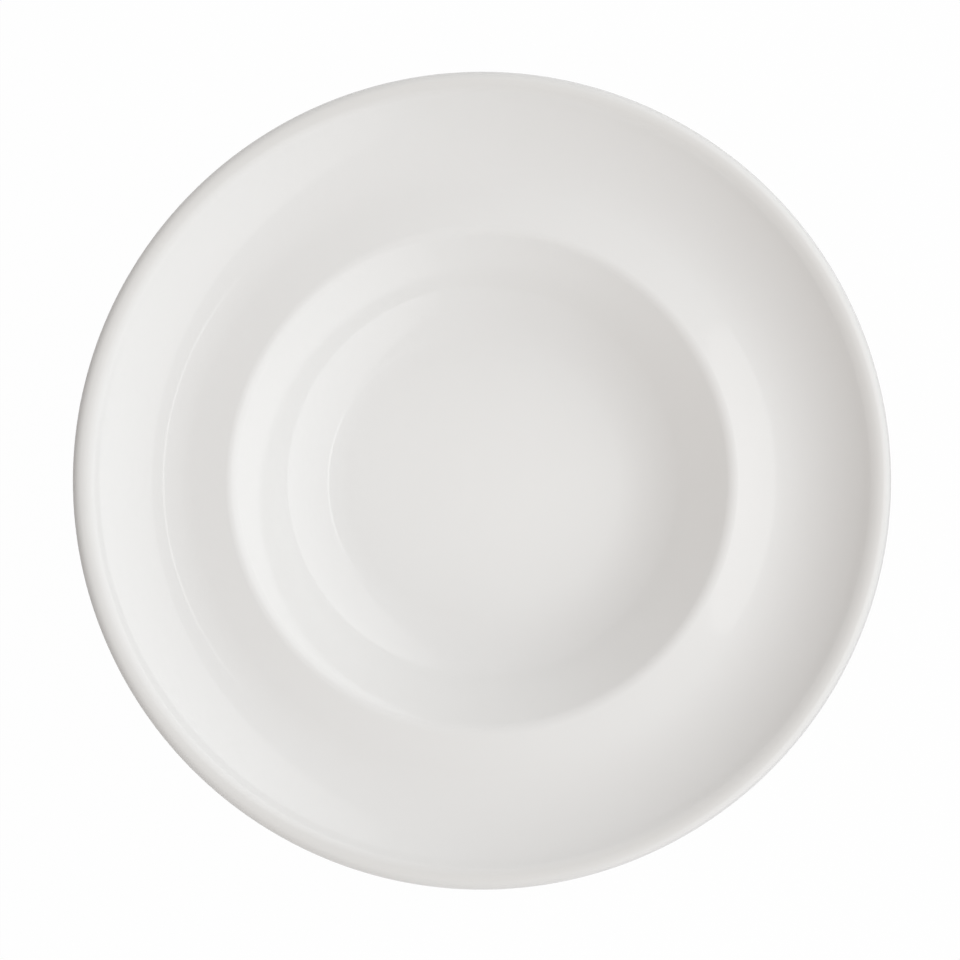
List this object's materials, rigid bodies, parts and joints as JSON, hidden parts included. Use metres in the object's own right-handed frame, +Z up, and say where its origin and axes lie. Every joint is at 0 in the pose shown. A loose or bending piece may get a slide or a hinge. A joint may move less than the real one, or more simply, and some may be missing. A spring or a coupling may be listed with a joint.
{
  "type": "deep plate",
  "caption": "Round deep plate for soup or pasta: a wide rim that dips and then turns up to a rounded lip, a well with a sloping wall, and a low bare foot ring. White glazed porcelain.",
  "frame": {"origin": "centre of the circle that the foot ring stands on", "axes": "+Z up along the plate's axis; the plate is round, so +X and +Y are any two square directions"},
  "size_m": [0.28, 0.28, 0.0468],
  "materials": {
    "biscuit": "matte",
    "glaze": "gloss"
  },
  "bodies": {
    "root": {"porcelain_body": "biscuit", "glaze_coat": "glaze", "foot_recess_glaze": "glaze"}
  },
  "joints": []
}
